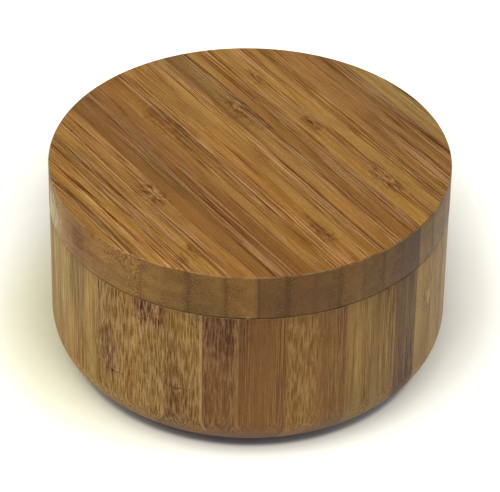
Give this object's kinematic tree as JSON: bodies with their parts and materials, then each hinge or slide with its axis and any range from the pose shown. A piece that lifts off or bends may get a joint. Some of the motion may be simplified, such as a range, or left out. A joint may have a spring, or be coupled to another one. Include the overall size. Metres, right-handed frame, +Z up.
{
  "type": "lidded shaving pot",
  "caption": "Round wooden pot for shaving soap with a rounded foot and a flat lid of strips that swivels aside on a hidden pin.",
  "frame": {"origin": "middle of the underside, on the surface that the pot stands on", "axes": "+Z up along the axis of the pot, +X across the lid's strips, +Y along them towards the pivot pin"},
  "size_m": [0.102, 0.102, 0.0579],
  "materials": {
    "bamboo_straw": "carbonised bamboo, fine fibre lines and end-grain dots, oiled to a low sheen",
    "bamboo_honey": "carbonised bamboo, fine fibre lines and end-grain dots, oiled to a low sheen",
    "bamboo_tan": "carbonised bamboo, fine fibre lines and end-grain dots, oiled to a low sheen",
    "bamboo_amber": "carbonised bamboo, fine fibre lines and end-grain dots, oiled to a low sheen",
    "bamboo_olive": "carbonised bamboo, fine fibre lines and end-grain dots, oiled to a low sheen",
    "bamboo_chestnut": "carbonised bamboo, fine fibre lines and end-grain dots, oiled to a low sheen",
    "bamboo_russet": "carbonised bamboo, fine fibre lines and end-grain dots, oiled to a low sheen",
    "bamboo_walnut": "carbonised bamboo, fine fibre lines and end-grain dots, oiled to a low sheen",
    "steel": "ground dowel",
    "nickel": "nickel-plated, bright"
  },
  "bodies": {
    "pot": {"body_ply_01": "bamboo_tan", "body_ply_02": "bamboo_honey", "body_ply_03": "bamboo_russet", "body_ply_04": "bamboo_chestnut", "body_ply_05": "bamboo_honey", "body_ply_06": "bamboo_chestnut", "body_ply_07": "bamboo_tan", "body_ply_08": "bamboo_tan", "body_ply_09": "bamboo_walnut", "body_ply_10": "bamboo_straw", "body_ply_11": "bamboo_tan", "body_ply_12": "bamboo_honey", "body_ply_13": "bamboo_chestnut", "body_magnet": "nickel"},
    "lid": {"lid_strip_01": "bamboo_honey", "lid_strip_02": "bamboo_amber", "lid_strip_03": "bamboo_amber", "lid_strip_04": "bamboo_straw", "lid_strip_05": "bamboo_walnut", "lid_strip_06": "bamboo_russet", "lid_strip_07": "bamboo_chestnut", "lid_strip_08": "bamboo_straw", "lid_strip_09": "bamboo_straw", "lid_strip_10": "bamboo_olive", "lid_strip_11": "bamboo_tan", "lid_strip_12": "bamboo_honey", "lid_strip_13": "bamboo_honey", "lid_strip_14": "bamboo_tan", "lid_strip_15": "bamboo_russet", "lid_strip_16": "bamboo_straw", "pivot_pin": "steel", "lid_magnet": "nickel"}
  },
  "joints": [
    {"name": "lid_swivel", "type": "hinge", "parent": "pot", "child": "lid", "pos_m": [0, 0.04595, 0.0453], "axis": [0, 0, 1], "continuous": true}
  ]
}
